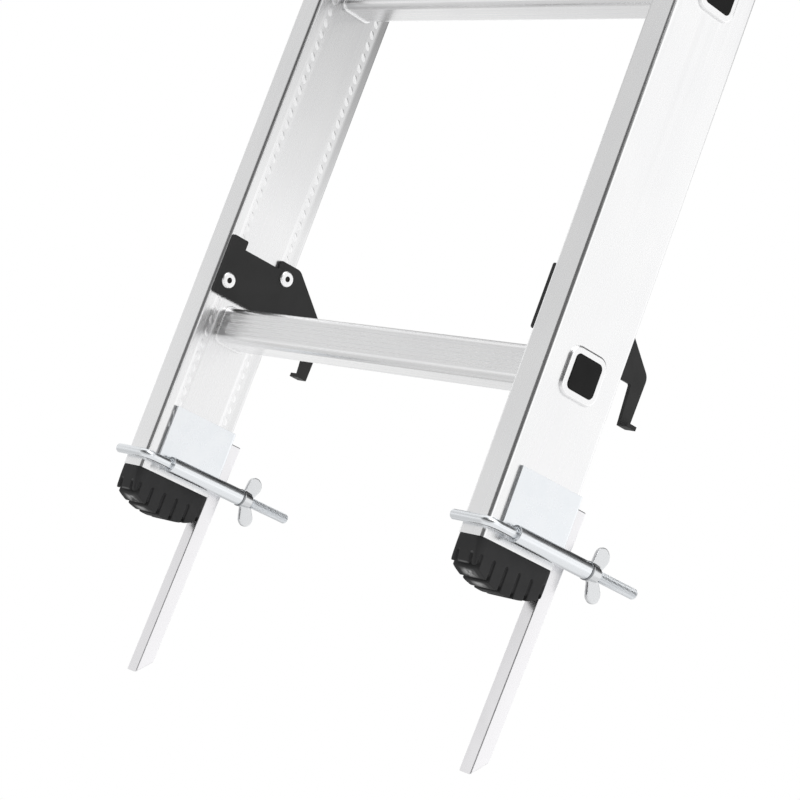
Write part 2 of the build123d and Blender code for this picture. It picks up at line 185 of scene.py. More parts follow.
def start_box(name, low, high):
    """A box primitive between two corners, with its place in its mesh."""
    bpy.ops.object.select_all(action="DESELECT")
    bpy.ops.mesh.primitive_cube_add(size=1, location=(Vector(low) + Vector(high)) / 2)
    box = bpy.context.object
    box.name = name
    box.scale = Vector(high) - Vector(low)
    bpy.ops.object.transform_apply(location=True, rotation=True, scale=True)
    return box


def start_cylinder(name, start, end, radius, sides=48):
    """A cylinder primitive from one point to another, with its place in its mesh."""
    bpy.ops.object.select_all(action="DESELECT")
    start, end = Vector(start), Vector(end)
    bpy.ops.mesh.primitive_cylinder_add(
        vertices=sides, radius=radius, depth=(end - start).length, location=(start + end) / 2,
        rotation=(end - start).to_track_quat("Z", "Y").to_euler())
    cylinder = bpy.context.object
    cylinder.name = name
    bpy.ops.object.transform_apply(location=True, rotation=True, scale=True)
    return cylinder


def choose(piece):
    """Makes a piece the only selected object, and the active one."""
    bpy.ops.object.select_all(action="DESELECT")
    bpy.context.view_layer.objects.active = piece
    piece.select_set(True)


def pick(piece, kind, test):
    """Opens a piece in edit mode with only those edges or faces selected that pass the test."""
    choose(piece)
    bpy.ops.object.mode_set(mode="EDIT")
    bpy.ops.mesh.select_mode(type=kind)
    bpy.ops.mesh.select_all(action="DESELECT")
    bpy.ops.object.mode_set(mode="OBJECT")
    mesh = piece.data
    if kind == "EDGE":
        for edge in mesh.edges:
            edge.select = test(*[mesh.vertices[i].co for i in edge.vertices])
    else:
        for face in mesh.polygons:
            face.select = test(face.center, face.normal)
    bpy.ops.object.mode_set(mode="EDIT")


def edges_along(axis):
    """A test for edges that run along one axis."""
    return lambda a, b: abs((b - a).normalized()[axis]) > 0.99


def round_edges(piece, test, radius, segments):
    """Bevels those edges of a piece that pass the test."""
    pick(piece, "EDGE", test)
    bpy.ops.mesh.bevel(offset=radius, segments=segments)
    bpy.ops.object.mode_set(mode="OBJECT")


def finish_with(piece, kind, **settings):
    """Adds a modifier with these settings and applies it."""
    modifier = piece.modifiers.new(kind.lower(), kind)
    for name, value in settings.items():
        setattr(modifier, name, value)
    choose(piece)
    bpy.ops.object.modifier_apply(modifier=modifier.name)


def cut(piece, tool, operation="DIFFERENCE"):
    """Cuts a piece with a tool and throws the tool away."""
    finish_with(piece, "BOOLEAN", object=tool, operation=operation, solver="EXACT")
    bpy.data.objects.remove(tool)


def join(name, pieces):
    """Makes several meshes one piece."""
    choose(pieces[0])
    for piece in pieces:
        piece.select_set(True)
    bpy.ops.object.join()
    pieces[0].name = name
    return pieces[0]


def fit(piece, material, slot, body, *nodes):
    """Gives a piece its finish, the body that it moves with and the CAD nodes that it stands for."""
    choose(piece)
    bpy.ops.object.shade_smooth_by_angle(angle=math.radians(35))
    finish_with(piece, "WEIGHTED_NORMAL", keep_sharp=True)
    piece.data.materials.clear()
    piece.data.materials.append(material)
    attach(piece, body)
    if nodes:
        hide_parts(*nodes)


rung_heights = [sum(corner.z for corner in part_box(f"{which}_rung")) / 2 for which in ("upper", "lower")]
stile_aluminium = extruded_aluminium("aluminium extruded upright", 2)
# The inner faces get painted shade: darker tones between and behind the troughs, and a painted shadow under
# the upper rung
paint_inner_face_shade(
    stile_aluminium, ("#F8F8F8", "#F6F6F6", "#F7F7F7", "#EBEBEB"), *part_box("left_stile"), rung_heights[0])
# The studs get a lighter copy of the stile's aluminium, a painted highlight that keeps them brighter than
# the troughs, with the same painted shadow under the upper rung
stud_aluminium_highlit = extruded_aluminium("aluminium studs painted highlight", 2)
paint_inner_face_shade(stud_aluminium_highlit, ["#FDFDFD"] * 4, *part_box("left_stile"), rung_heights[0])
for side in SIDES:
    low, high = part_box(f"{side}_stile")
    inward = 1 if side == "left" else -1
    inner = high.x if side == "left" else low.x
    stile = start_box(f"{side}_stile_extrusion", low, high)
    round_edges(stile, edges_along(2), STILE_CORNER, 8)
    pick(stile, "FACE", lambda centre, normal: abs(normal.z) > 0.5)
    bpy.ops.mesh.delete(type="FACE")
    bpy.ops.object.mode_set(mode="OBJECT")
    finish_with(stile, "SOLIDIFY", thickness=STILE_WALL, offset=-1, use_even_offset=True)
    rows = (low.y + TROUGH_INSET, high.y - TROUGH_INSET)
    trough_radius = (TROUGH_WIDTH ** 2 / 4 + TROUGH_DEPTH ** 2) / (2 * TROUGH_DEPTH)
    trough_x = inner + inward * (trough_radius - TROUGH_DEPTH)
    for row in rows:
        cut(stile, start_cylinder(
            "trough", (trough_x, row, low.z - TOOL_OVERRUN), (trough_x, row, high.z + TOOL_OVERRUN),
            trough_radius, sides=240))
    for rung_z in rung_heights:
        hole = start_box(
            "rung hole",
            (low.x - TOOL_OVERRUN, -RUNG_DEPTH / 2, rung_z - RUNG_HEIGHT / 2),
            (high.x + TOOL_OVERRUN, RUNG_DEPTH / 2, rung_z + RUNG_HEIGHT / 2))
        round_edges(hole, edges_along(0), RUNG_CORNER, 8)
        cut(stile, hole)
    fit(stile, stile_aluminium, "mill_aluminium", "ladder", f"{side}_stile")

    # The studs are pressed out of the trough's floor and stay below the stile's face
    stud_x = inner - inward * (TROUGH_DEPTH + STUD_SINK + CAP_CUT / CAP_HEIGHT * STUD_HEIGHT)
    stud_rows = []
    for row, start_z in zip(rows, STUD_STARTS):
        bpy.ops.object.select_all(action="DESELECT")
        bpy.ops.mesh.primitive_uv_sphere_add(
            segments=14, ring_count=12, radius=1, rotation=(0, math.pi / 2, 0))
        stud = bpy.context.object
        bpy.ops.object.transform_apply(location=True, rotation=True, scale=True)
        bpy.ops.object.mode_set(mode="EDIT")
        bpy.ops.mesh.select_all(action="SELECT")
        bpy.ops.mesh.bisect(
            plane_co=(CAP_CUT * inward, 0, 0), plane_no=(inward, 0, 0), use_fill=True, clear_inner=True)
        bpy.ops.object.mode_set(mode="OBJECT")
        stud.scale = (STUD_HEIGHT / CAP_HEIGHT, STUD_WIDTH / CAP_WIDTH, STUD_LENGTH / CAP_WIDTH)
        stud.rotation_euler = (STUD_SKEW, 0, 0)
        stud.location = (stud_x, row, start_z)
        choose(stud)
        bpy.ops.object.transform_apply(location=True, rotation=True, scale=True)
        finish_with(
            stud, "ARRAY", count=STUD_COUNT, use_relative_offset=False, use_constant_offset=True,
            constant_offset_displace=(0, 0, STUD_PITCH))
        stud_rows.append(stud)
    studs = join(f"{side}_stile_studs", stud_rows)
    fit(studs, stud_aluminium_highlit, "mill_aluminium", "ladder")


# Rungs: aluminium tubes with flutes on top, front and back for the tread. Each is beaded against
# the stiles' inner faces and rolled over outside them to a rounded square rim.
RUNG_EDGE = 0.00025
SAME_POINT = 0.000002  # points nearer to each other than this are one


def rounded_copy(node, name, radius, segments=3):
    """A copy of a node's solid with its sharp edges taken off, as rolling or moulding leaves them."""
    piece = bpy.data.objects.new(name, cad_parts[node].data.copy())
    bpy.context.collection.objects.link(piece)
    choose(piece)
    bpy.ops.mesh.customdata_custom_splitnormals_clear()
    bpy.ops.object.mode_set(mode="EDIT")
    bpy.ops.mesh.select_all(action="SELECT")
    bpy.ops.mesh.remove_doubles(threshold=SAME_POINT)
    bpy.ops.mesh.dissolve_limited(angle_limit=math.radians(0.5))
    bpy.ops.object.mode_set(mode="OBJECT")
    finish_with(
        piece, "BEVEL", width=radius, segments=segments, limit_method="ANGLE",
        angle_limit=math.radians(40))
    return piece


rung_aluminium = extruded_aluminium("aluminium extruded lengthwise", 0)
for which in ("upper", "lower"):
    rung = rounded_copy(f"{which}_rung", f"{which}_rung_tube", RUNG_EDGE)
    fit(rung, rung_aluminium, "mill_aluminium", "ladder", f"{which}_rung")


# Rung plugs: caps of black polypropylene pressed into the rungs' ends, with the fine even grain
# of a spark-eroded mould.
PLUG_EDGE = 0.0004


def grained_black(name, colour, worn, roughness, grain, relief, level):
    """A black finish with a fine grain, given as the grain's width and height in metres."""
    material, tree, shader = new_material(name, {"Specular IOR Level": level})
    place = add_node(tree, "ShaderNodeTexCoord").outputs["Object"]
    grains = add_node(tree, "ShaderNodeTexNoise", inputs={
        "Vector": place, "Scale": 1 / grain, "Detail": 3.0, "Roughness": 0.6})
    # Faint patches 15 mm across, where handling has worn the surface
    patches = add_node(tree, "ShaderNodeTexNoise", inputs={
        "Vector": place, "Scale": 1 / 0.015, "Detail": 2.0})
    tone = add_node(tree, "ShaderNodeMix", {"data_type": "RGBA"}, {
        "Factor": patches.outputs["Fac"], "A": linear(colour), "B": linear(worn)})
    gloss = add_node(tree, "ShaderNodeMapRange", inputs={
        "Value": patches.outputs["Fac"], "From Min": 0.3, "From Max": 0.7,
        "To Min": roughness - 0.05, "To Max": roughness + 0.07})
    bump = add_node(tree, "ShaderNodeBump", inputs={
        "Height": grains.outputs["Fac"], "Strength": 0.6, "Distance": relief})
    tree.links.new(tone.outputs["Result"], shader.inputs["Base Color"])
    tree.links.new(gloss.outputs["Result"], shader.inputs["Roughness"])
    tree.links.new(bump.outputs["Normal"], shader.inputs["Normal"])
    return material


black_plastic = grained_black(
    "polypropylene moulded black", "#050505", "#0A0A0A",
    roughness=0.5, grain=0.0007, relief=0.00003, level=0.22)
for side in SIDES:
    for which in ("upper", "lower"):
        node = f"{side}_{which}_rung_plug"
        plug = rounded_copy(node, f"{node}_cap", PLUG_EDGE)
        fit(plug, black_plastic, "black_plastic", "ladder", node)


# Rung hooks: steel plates cut and bent in a press, then powder coated black. The coat draws back
# to round edges and has a slight orange peel.
HOOK_EDGE = 0.0007

black_coat = grained_black(
    "steel powder coated black", "#181818", "#1E1E1E",
    roughness=0.52, grain=0.0014, relief=0.00005, level=0.4)
for side in SIDES:
    node = f"{side}_rung_hook"
    hook = rounded_copy(node, f"{side}_hook_plate", HOOK_EDGE)
    fit(hook, black_coat, "black_powder_coat", "ladder", node)


# Rivets: bright aluminium blind rivets that hold each hook to the stile's wall. The steel mandrel
# that set the rivet has broken off inside its bore.
RIVET_HEAD = 0.0128
RIVET_HEAD_HEIGHT = 0.0018
RIVET_HEAD_ROUND = 0.0016
RIVET_SHANK = 0.007
RIVET_BORE = 0.0045
RIVET_BORE_DEPTH = 0.0045
RIVET_TAIL = 0.01
RIVET_TAIL_HEIGHT = 0.0014
MANDREL_DROP = 0.0014
MANDREL_NECK = 0.0007
MANDREL_PLAY = 0.0001

rivet_aluminium = extruded_aluminium("aluminium rivet bright", 0)
mandrel_steel, tree, shader = new_material("steel mandrel broken", {"Metallic": 1.0, "Roughness": 0.55})
place = add_node(tree, "ShaderNodeTexCoord").outputs["Object"]
# The torn end is dark and grainy, with grains about half a millimetre across
grains = add_node(tree, "ShaderNodeTexNoise", inputs={
    "Vector": place, "Scale": 1 / 0.0005, "Detail": 2.0})
tone = add_node(tree, "ShaderNodeMix", {"data_type": "RGBA"}, {
    "Factor": grains.outputs["Fac"], "A": linear("#1E1D1C"), "B": linear("#4A4846")})
torn = add_node(tree, "ShaderNodeBump", inputs={
    "Height": grains.outputs["Fac"], "Strength": 0.8, "Distance": 0.0002})
tree.links.new(tone.outputs["Result"], shader.inputs["Base Color"])
tree.links.new(torn.outputs["Normal"], shader.inputs["Normal"])
for side in SIDES:
    low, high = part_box(f"{side}_hook_rivets")
    outward = 1 if side == "left" else -1
    tail_x, head_x = (low.x, high.x) if side == "left" else (high.x, low.x)
    flange_x = tail_x + outward * RIVET_TAIL_HEIGHT
    seat_x = head_x - outward * RIVET_HEAD_HEIGHT
    reach = RIVET_HEAD / 2
    rivets = []
    mandrels = []
    for y, z in ((low.y + reach, low.z + reach), (high.y - reach, high.z - reach)):
        rivet = start_cylinder("rivet", (tail_x, y, z), (flange_x, y, z), RIVET_TAIL / 2)
        pick(rivet, "FACE", lambda centre, normal: outward * normal.x > 0.99)
        bpy.ops.mesh.inset(thickness=(RIVET_TAIL - RIVET_SHANK) / 2)
        bpy.ops.mesh.extrude_region_move(TRANSFORM_OT_translate={"value": (seat_x - flange_x, 0, 0)})
        bpy.ops.mesh.extrude_region_move(TRANSFORM_OT_translate={"value": (0, 0, 0)})
        wider = RIVET_HEAD / RIVET_SHANK
        bpy.ops.transform.resize(value=(1, wider, wider), center_override=(seat_x, y, z))
        bpy.ops.mesh.extrude_region_move(TRANSFORM_OT_translate={"value": (head_x - seat_x, 0, 0)})
        bpy.ops.mesh.bevel(offset=RIVET_HEAD_ROUND, segments=4)
        bpy.ops.object.mode_set(mode="OBJECT")
        pick(rivet, "FACE", lambda centre, normal: abs(centre.x - head_x) < SAME_POINT)
        bpy.ops.mesh.inset(thickness=(RIVET_HEAD - RIVET_BORE) / 2 - RIVET_HEAD_ROUND)
        bpy.ops.mesh.extrude_region_move(
            TRANSFORM_OT_translate={"value": (-outward * RIVET_BORE_DEPTH, 0, 0)})
        bpy.ops.object.mode_set(mode="OBJECT")
        rivets.append(rivet)
        stub = start_cylinder(
            "stub", (head_x - outward * RIVET_BORE_DEPTH, y, z), (head_x - outward * MANDREL_DROP, y, z),
            RIVET_BORE / 2 - MANDREL_PLAY, sides=24)
        pick(stub, "FACE", lambda centre, normal: outward * normal.x > 0.99)
        bpy.ops.mesh.inset(thickness=MANDREL_NECK)
        bpy.ops.mesh.extrude_region_move(
            TRANSFORM_OT_translate={"value": (outward * MANDREL_NECK, 0, 0)})
        bpy.ops.object.mode_set(mode="OBJECT")
        mandrels.append(stub)
    pair = join(f"{side}_rivets", rivets)
    fit(pair, rivet_aluminium, "rivet_aluminium", "ladder", f"{side}_hook_rivets")
    stubs = join(f"{side}_rivet_mandrels", mandrels)
    fit(stubs, mandrel_steel, "zinc_plated_steel", "ladder")


# Feet: black rubber shoes pushed into the stiles' ends. The cross grooves under the arched sole
# run on up the sides, and the mould rounds the shoe's corners and softens every rib.
FOOT_CORNER = 0.0068
FOOT_EDGE = 0.0006
FOOT_VOXEL = 0.0005
FOOT_FIRST_GROOVE = -0.03
FOOT_GROOVE_PITCH = 0.0121
GLINT_START = -0.004  # painted glints grow from here towards the toe, and are full there
GLINT_FULL = -0.014
GLINT_REACH = 0.008  # from the foot's middle line, with the part where the painted glints are full
GLINT_CORE = 0.002
CROWN_START = 0.0018  # a rib's crown, from the middle of the groove beside it
CROWN_FULL = 0.0045
STILE_CENTRE = sum(corner.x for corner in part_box("right_stile")) / 2


def soften(piece, voxel, rounds):
    """Runs a piece's edges and inner corners into soft fillets, as a mould or a casting leaves them."""
    finish_with(piece, "REMESH", mode="VOXEL", voxel_size=voxel)
    finish_with(piece, "SMOOTH", factor=0.5, iterations=rounds)


black_rubber = grained_black(
    "rubber moulded black", "#1D1D1E", "#242425",
    roughness=0.66, grain=0.0011, relief=0.00007, level=0.45)
# Painted glints in patches about 5 mm across light the crowns of the ribs under the toe, on their faces
# that point down
tree = black_rubber.node_tree
shader = tree.nodes["Principled BSDF"]
unglinted = shader.inputs["Base Color"].links[0].from_socket
place = add_node(tree, "ShaderNodeTexCoord").outputs["Object"]
parts = add_node(tree, "ShaderNodeSeparateXYZ", inputs={"Vector": place})
toe = add_node(tree, "ShaderNodeMapRange", inputs={
    "Value": parts.outputs["Y"], "From Min": GLINT_START, "From Max": GLINT_FULL})
normal = add_node(tree, "ShaderNodeNewGeometry").outputs["Normal"]
slope = add_node(tree, "ShaderNodeSeparateXYZ", inputs={"Vector": normal})
sole = add_node(tree, "ShaderNodeMapRange", inputs={
    "Value": slope.outputs["Z"], "From Min": -0.25, "From Max": -0.6})
across = add_node(tree, "ShaderNodeMath", {"operation": "ABSOLUTE"}, {0: parts.outputs["X"]})
from_side = add_node(tree, "ShaderNodeMath", {"operation": "PINGPONG"}, {
    0: across.outputs["Value"], 1: STILE_CENTRE})
middle_part = add_node(tree, "ShaderNodeMapRange", inputs={
    "Value": from_side.outputs["Value"],
    "From Min": STILE_CENTRE - GLINT_REACH, "From Max": STILE_CENTRE - GLINT_CORE})
along = add_node(tree, "ShaderNodeMath", {"operation": "SUBTRACT"}, {
    0: parts.outputs["Y"], 1: FOOT_FIRST_GROOVE})
from_groove = add_node(tree, "ShaderNodeMath", {"operation": "PINGPONG"}, {
    0: along.outputs["Value"], 1: FOOT_GROOVE_PITCH / 2})
crown = add_node(tree, "ShaderNodeMapRange", inputs={
    "Value": from_groove.outputs["Value"], "From Min": CROWN_START, "From Max": CROWN_FULL})
glint_noise = add_node(tree, "ShaderNodeTexNoise", inputs={
    "Vector": place, "Scale": 1 / 0.005, "Detail": 3.0})
glint_patches = add_node(tree, "ShaderNodeMapRange", inputs={
    "Value": glint_noise.outputs["Fac"], "From Min": 0.3, "From Max": 0.5})
share = glint_patches.outputs["Result"]
for part in (toe, sole, middle_part, crown):
    share = add_node(tree, "ShaderNodeMath", {"operation": "MULTIPLY"}, {
        0: share, 1: part.outputs["Result"]}).outputs["Value"]
# The painted glints lighten the black rubber towards pale grey
tone = add_node(tree, "ShaderNodeMix", {"data_type": "RGBA"}, {
    "Factor": share, "A": unglinted, "B": linear("#B4B4B4")})
tree.links.new(tone.outputs["Result"], shader.inputs["Base Color"])
for side in SIDES:
    node = f"{side}_foot"
    low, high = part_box(node)
    foot = rounded_copy(node, f"{side}_foot_shoe", FOOT_EDGE, segments=2)
    column = start_box(
        "column", (low.x, low.y, low.z - TOOL_OVERRUN), (high.x, high.y, high.z + TOOL_OVERRUN))
    round_edges(column, edges_along(2), FOOT_CORNER, 10)
    cut(foot, column, "INTERSECT")
    soften(foot, FOOT_VOXEL, 10)
    fit(foot, black_rubber, "black_rubber", "ladder", node)


# Clamps: bent plate, angle-bar spike and guide tube of mild steel, welded into one and then plated
# with bright zinc, which leaves a bluish sheen with faint clouds.
PLATE_EDGE = 0.0004
SPIKE_EDGE = 0.0011
SPIKE_LEG = 0.0123
SPIKE_LEAN = math.radians(2.4)
WELD_RIPPLE = 0.0022
WELD_RADIUS = 0.0017
WELD_INSET = 0.003
WELD_VOXEL = 0.0003
TUBE_WELD_RADIUS = 0.8 * WELD_RADIUS
TUBE_WELD_BACK_INSET = 0.004
TUBE_WELD_DROP = 0.0013
TUBE_EDGE = 0.0003
TUBE_LIP_BORE = 0.0072
TUBE_LIP_THICK = 0.0004


def zinc_plate(name, dark, pale):
    """Bright zinc on steel: a mirror gone slightly milky, with a bluish cast in soft clouds."""
    material, tree, shader = new_material(name, {"Metallic": 1.0})
    place = add_node(tree, "ShaderNodeTexCoord").outputs["Object"]
    # Clouds about 14 mm across where the passivation ran, over a grain of about 1.2 mm in the steel
    clouds = add_node(tree, "ShaderNodeTexNoise", inputs={
        "Vector": place, "Scale": 1 / 0.014, "Detail": 3.0, "Roughness": 0.55})
    tone = add_node(tree, "ShaderNodeMix", {"data_type": "RGBA"}, {
        "Factor": clouds.outputs["Fac"], "A": linear(dark), "B": linear(pale)})
    grain = add_node(tree, "ShaderNodeTexNoise", inputs={
        "Vector": place, "Scale": 1 / 0.0012, "Detail": 2.0})
    gloss = add_node(tree, "ShaderNodeMapRange", inputs={
        "Value": clouds.outputs["Fac"], "From Min": 0.3, "From Max": 0.7, "To Min": 0.22, "To Max": 0.32})
    relief = add_node(tree, "ShaderNodeBump", inputs={
        "Height": grain.outputs["Fac"], "Strength": 0.04, "Distance": 0.00003})
    tree.links.new(tone.outputs["Result"], shader.inputs["Base Color"])
    tree.links.new(gloss.outputs["Result"], shader.inputs["Roughness"])
    tree.links.new(relief.outputs["Normal"], shader.inputs["Normal"])
    return material


def weld_bead(start, end, radius):
    """A weld bead from one point to another, rippled where each drop froze onto the last."""
    start, end = Vector(start), Vector(end)
    count = round((end - start).length / WELD_RIPPLE) + 1
    bpy.ops.object.select_all(action="DESELECT")
    bpy.ops.mesh.primitive_uv_sphere_add(segments=16, ring_count=10, radius=radius, location=start)
    bead = bpy.context.object
    bpy.ops.object.transform_apply(location=True, rotation=True, scale=True)
    finish_with(
        bead, "ARRAY", count=count, use_relative_offset=False, use_constant_offset=True,
        constant_offset_displace=(end - start) / (count - 1))
    return bead


zinc_steel = zinc_plate("steel zinc plated bright", "#EAEEF2", "#F4F6F8")
# The spikes' zinc is rubbed pale, with hardly any blue left
spike_steel = zinc_plate("steel zinc plated rubbed", "#EEEDEF", "#F3F2F4")
for side in SIDES:
    for part, edge, steel in (("clamp_plate", PLATE_EDGE, zinc_steel), ("spike", SPIKE_EDGE, spike_steel)):
        node = f"{side}_{part}"
        piece = rounded_copy(node, f"{node}_plated", edge)
        fit(piece, steel, "zinc_plated_steel", f"{side}_clamp", node)

    # The tube's front end is rolled in to a lip that the bar just passes
    tube_low, tube_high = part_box(f"{side}_clamp_tube")
    tube = rounded_copy(f"{side}_clamp_tube", "tube", TUBE_EDGE)
    lip_place = (tube_low + tube_high) / 2
    lip_place.y = tube_low.y + TUBE_LIP_THICK
    bpy.ops.object.select_all(action="DESELECT")
    bpy.ops.mesh.primitive_torus_add(
        major_radius=TUBE_LIP_BORE / 2 + TUBE_LIP_THICK, minor_radius=TUBE_LIP_THICK, major_segments=48,
        minor_segments=12, location=lip_place, rotation=(math.pi / 2, 0, 0))
    lip = bpy.context.object
    bpy.ops.object.transform_apply(location=True, rotation=True, scale=True)
    tube = join(f"{side}_clamp_tube_plated", [tube, lip])
    fit(tube, zinc_steel, "zinc_plated_steel", f"{side}_clamp", f"{side}_clamp_tube")

    # Weld beads run down both edges of the spike on the plate's back, and along the top of the tube
    plate_low, plate_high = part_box(f"{side}_clamp_plate")
    spike_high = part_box(f"{side}_spike")[1]
    start_z = spike_high.z - WELD_INSET
    end_z = plate_low.z + WELD_INSET
    drift = (start_z - end_z) * math.tan(SPIKE_LEAN)
    beads = []
    for edge_x in (spike_high.x, spike_high.x - SPIKE_LEG):
        beads.append(weld_bead(
            (edge_x, plate_high.y, start_z), (edge_x - drift, plate_high.y, end_z), WELD_RADIUS))
    seam_z = tube_high.z - TUBE_WELD_DROP
    beads.append(weld_bead(
        (plate_high.x, tube_low.y + WELD_INSET, seam_z),
        (plate_high.x, plate_high.y - TUBE_WELD_BACK_INSET, seam_z), TUBE_WELD_RADIUS))
    welds = join(f"{side}_clamp_welds", beads)
    soften(welds, WELD_VOXEL, 2)
    fit(welds, zinc_steel, "zinc_plated_steel", f"{side}_clamp")


# Hook bolts: round bar bent across the stile's front, with an M8 thread rolled on its tail, and
# zinc plated. The wing nut on the tail pulls the bar against the stile.
BOLT_DIAMETER = 0.007
BOLT_BEND = 0.007
BOLT_CHAMFER = 0.0008
END_BAND = 0.0001  # edges nearer to an end than this belong to it
THREAD_DIAMETER = 0.0078
THREAD_DEPTH = 0.0007
THREAD_PITCH = 0.00125
THREAD_CREST = 0.12 * THREAD_PITCH
THREAD_LENGTH = 0.061
THREAD_STEPS = 24
SPARE_TURNS = 2
TRIM_CLEARANCE = 0.00002

for side in SIDES:
    low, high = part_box(f"{side}_hook_bolt")
    bar_y = low.y + BOLT_DIAMETER / 2
    axis_x = high.x - THREAD_DIAMETER / 2
    axis_z = (low.z + high.z) / 2
    thread_y = high.y - THREAD_LENGTH
    bolt = start_cylinder(
        "bolt", (low.x, bar_y, axis_z), (axis_x - BOLT_BEND, bar_y, axis_z), BOLT_DIAMETER / 2)
    round_edges(bolt, lambda a, b: max(a.x, b.x) < low.x + END_BAND, BOLT_CHAMFER, 2)
    pick(bolt, "FACE", lambda centre, normal: normal.x > 0.99)
    bpy.ops.mesh.spin(
        steps=12, angle=-math.pi / 2, axis=(0, 0, 1),
        center=(axis_x - BOLT_BEND, bar_y + BOLT_BEND, axis_z))
    bpy.ops.mesh.extrude_region_move(
        TRANSFORM_OT_translate={"value": (0, thread_y - bar_y - BOLT_BEND, 0)})
    bpy.ops.mesh.select_all(action="SELECT")
    bpy.ops.mesh.remove_doubles(threshold=SAME_POINT)
    bpy.ops.mesh.normals_make_consistent(inside=False)
    bpy.ops.object.mode_set(mode="OBJECT")

    # The thread's outline is screwed out past both ends of the tail, then trimmed to it
    crest = THREAD_DIAMETER / 2
    root = crest - THREAD_DEPTH
    outline = bpy.data.meshes.new("thread outline")
    outline.from_pydata(
        [(root, 0, 0), (crest, (THREAD_PITCH - THREAD_CREST) / 2, 0),
         (crest, (THREAD_PITCH + THREAD_CREST) / 2, 0), (root, THREAD_PITCH, 0)],
        [(0, 1), (1, 2), (2, 3)], [])
    thread = bpy.data.objects.new("thread", outline)
    bpy.context.collection.objects.link(thread)
    turns = int(THREAD_LENGTH / THREAD_PITCH) + 2 * SPARE_TURNS
    finish_with(
        thread, "SCREW", axis="Y", screw_offset=THREAD_PITCH, iterations=turns, steps=THREAD_STEPS,
        render_steps=THREAD_STEPS)
    thread.location = (axis_x, thread_y - SPARE_TURNS * THREAD_PITCH, axis_z)
    choose(thread)
    bpy.ops.object.transform_apply(location=True, rotation=True, scale=True)
    bpy.ops.object.mode_set(mode="EDIT")
    bpy.ops.mesh.select_all(action="SELECT")
    bpy.ops.mesh.remove_doubles(threshold=SAME_POINT)
    bpy.ops.mesh.fill_holes(sides=0)
    bpy.ops.mesh.select_all(action="SELECT")
    bpy.ops.mesh.normals_make_consistent(inside=False)
    bpy.ops.object.mode_set(mode="OBJECT")
    tail = start_cylinder(
        "tail", (axis_x, thread_y, axis_z), (axis_x, high.y, axis_z), crest + TRIM_CLEARANCE)
    round_edges(tail, lambda a, b: min(a.y, b.y) > high.y - END_BAND, BOLT_CHAMFER, 1)
    cut(thread, tail, "INTERSECT")
    bolt = join(f"{side}_hook_bolt_threaded", [bolt, thread])
    fit(bolt, zinc_steel, "zinc_plated_steel", f"{side}_hook_bolt", f"{side}_hook_bolt")


# Washers and wing nuts: a stamped steel washer, its zinc darkened grey as painted shade between the tube's
# end and the nut, and behind it a wing nut cast in steel and zinc plated, with soft edges and full fillets
# between hub and wings. The nut is turned by hand.
WASHER_EDGE = 0.0003
NUT_EDGE = 0.0002
NUT_VOXEL = 0.0004

# The washer's dark grey zinc is painted shade
washer_steel_shaded = zinc_plate("steel washer painted shade", "#85888B", "#A0A2A4")
cast_steel = zinc_plate("steel cast zinc plated", "#D6D8DA", "#E4E5E6")
for side in SIDES:
    washer = rounded_copy(f"{side}_washer", f"{side}_washer_plated", WASHER_EDGE)
    fit(washer, washer_steel_shaded, "zinc_plated_steel", f"{side}_washer", f"{side}_washer")

    nut = rounded_copy(f"{side}_wing_nut", f"{side}_wing_nut_cast", NUT_EDGE)
    soften(nut, NUT_VOXEL, 10)
    fit(nut, cast_steel, "zinc_plated_steel", f"{side}_wing_nut", f"{side}_wing_nut")


# Camera: a long lens in front of the ladder and to its right, a little lower than the spikes' points
# and looking slightly up. It is rolled, as the photograph was.
camera_data = bpy.data.cameras.new("camera")
camera_data.sensor_width = 36
camera_data.lens = 123.08
camera = bpy.data.objects.new("camera", camera_data)
bpy.context.collection.objects.link(camera)
camera_place = Vector((1.4926, -1.1997, -0.6881))
forward = Vector((-0.76075, 0.62667, 0.16895))
up = Vector((-0.0985, -0.36877, 0.92429))
right = forward.cross(up)
turned = Matrix((right, up, -forward)).transposed().to_4x4()
camera.matrix_world = Matrix.Translation(camera_place) @ turned
bpy.context.scene.camera = camera


# Studio: a tent of white cloth that only the metal reflects. Its opening in front and two spots high
# up behind are dark, which corners mirror as dark lines. The left wall, spots on the right and at
# the back, the floor and two low spots are grey, which tones the flat faces.
TENT_RADIUS = 5

scene = bpy.context.scene
scene.view_settings.view_transform = "Standard"
middle = (cad_low + cad_high) / 2
bpy.ops.object.select_all(action="DESELECT")
bpy.ops.mesh.primitive_uv_sphere_add(segments=48, ring_count=24, radius=TENT_RADIUS, location=middle)
tent = bpy.context.object
tent.name = "studio_tent"
tent_cloth = bpy.data.materials.new("tent cloth")
tent_cloth.use_nodes = True
tree = tent_cloth.node_tree
tree.nodes.clear()
place = add_node(tree, "ShaderNodeTexCoord").outputs["Object"]
toward = add_node(tree, "ShaderNodeVectorMath", {"operation": "NORMALIZE"}, {0: place}).outputs["Vector"]
height = add_node(tree, "ShaderNodeSeparateXYZ", inputs={"Vector": toward}).outputs["Z"]
# The opening in front is dark down to the tent's waist and grey below
opening = add_node(tree, "ShaderNodeMapRange", {"interpolation_type": "SMOOTHSTEP"}, {
    "Value": height, "From Min": -0.16, "From Max": -0.02,
    "To Min": 0.6, "To Max": 0.08}).outputs["Result"]
# The cloth is greyer towards the floor
level = add_node(tree, "ShaderNodeMapRange", {"interpolation_type": "SMOOTHSTEP"}, {
    "Value": height, "From Min": -0.38, "From Max": -0.18,
    "To Min": 0.92, "To Max": 1.15}).outputs["Result"]
